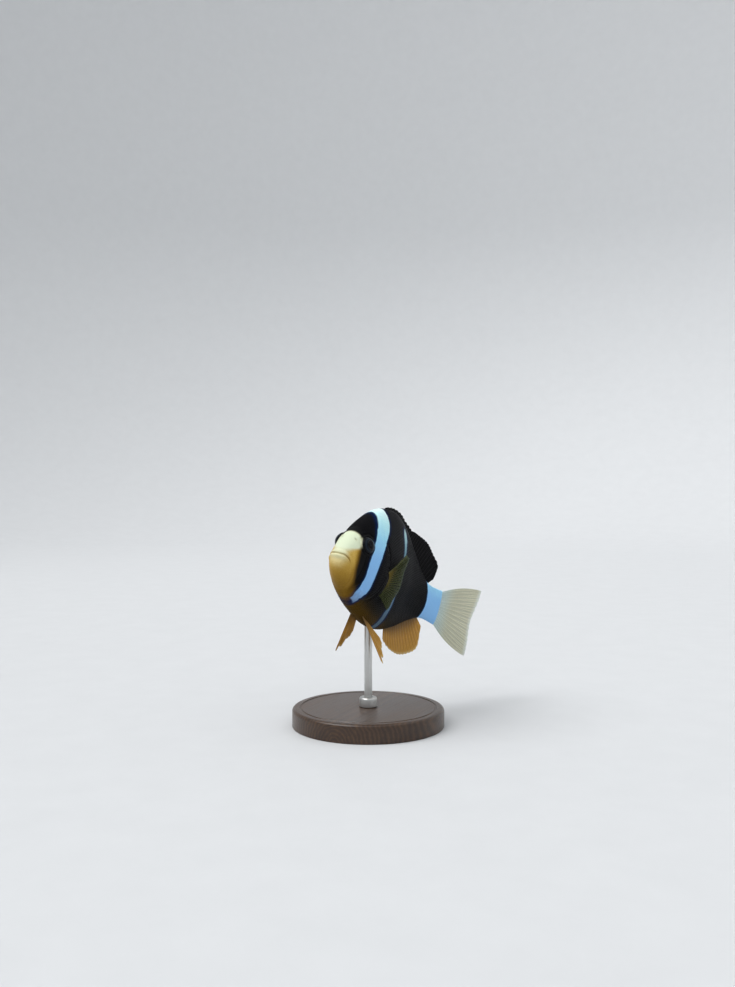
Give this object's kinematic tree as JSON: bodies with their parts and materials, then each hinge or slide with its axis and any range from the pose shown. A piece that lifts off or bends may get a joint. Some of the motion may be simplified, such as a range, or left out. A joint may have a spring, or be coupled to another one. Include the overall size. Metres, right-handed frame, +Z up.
{
  "type": "anemonefish display model",
  "caption": "Life-size still model of a dark anemonefish with pale bars and a yellow snout, held nose-up by a rod over a round base.",
  "frame": {"origin": "centre of the underside of the round base, on the floor", "axes": "+Z up, the fish heads along -Y with its nose raised, and its left side faces +X"},
  "size_m": [0.058, 0.1006, 0.0833],
  "materials": {
    "dark_skin": "satin, black-brown scales",
    "yellow_skin": "satin, yellow to cream",
    "white_skin": "satin, bluish white",
    "eye": "wet gloss",
    "black_fin": "matt, rayed",
    "yellow_fin": "matt, rayed",
    "pale_fin": "matt, rayed",
    "olive_fin": "matt, rayed",
    "base_wood": "dark stained, satin varnish",
    "rod_steel": "brushed"
  },
  "bodies": {
    "root": {"head": "dark_skin", "lower_jaw": "yellow_skin", "gill_cover_left": "dark_skin", "gill_cover_right": "dark_skin", "trunk": "dark_skin", "tail_stalk": "white_skin", "eye_left": "eye", "eye_right": "eye", "dorsal_fin_spiny": "black_fin", "dorsal_fin_soft": "black_fin", "anal_fin": "yellow_fin", "tail_fin": "pale_fin", "pectoral_fin_left": "olive_fin", "pectoral_fin_right": "olive_fin", "pelvic_fin_left": "yellow_fin", "pelvic_fin_right": "yellow_fin", "stand_base": "base_wood", "stand_collar": "rod_steel", "stand_rod": "rod_steel"}
  },
  "joints": []
}
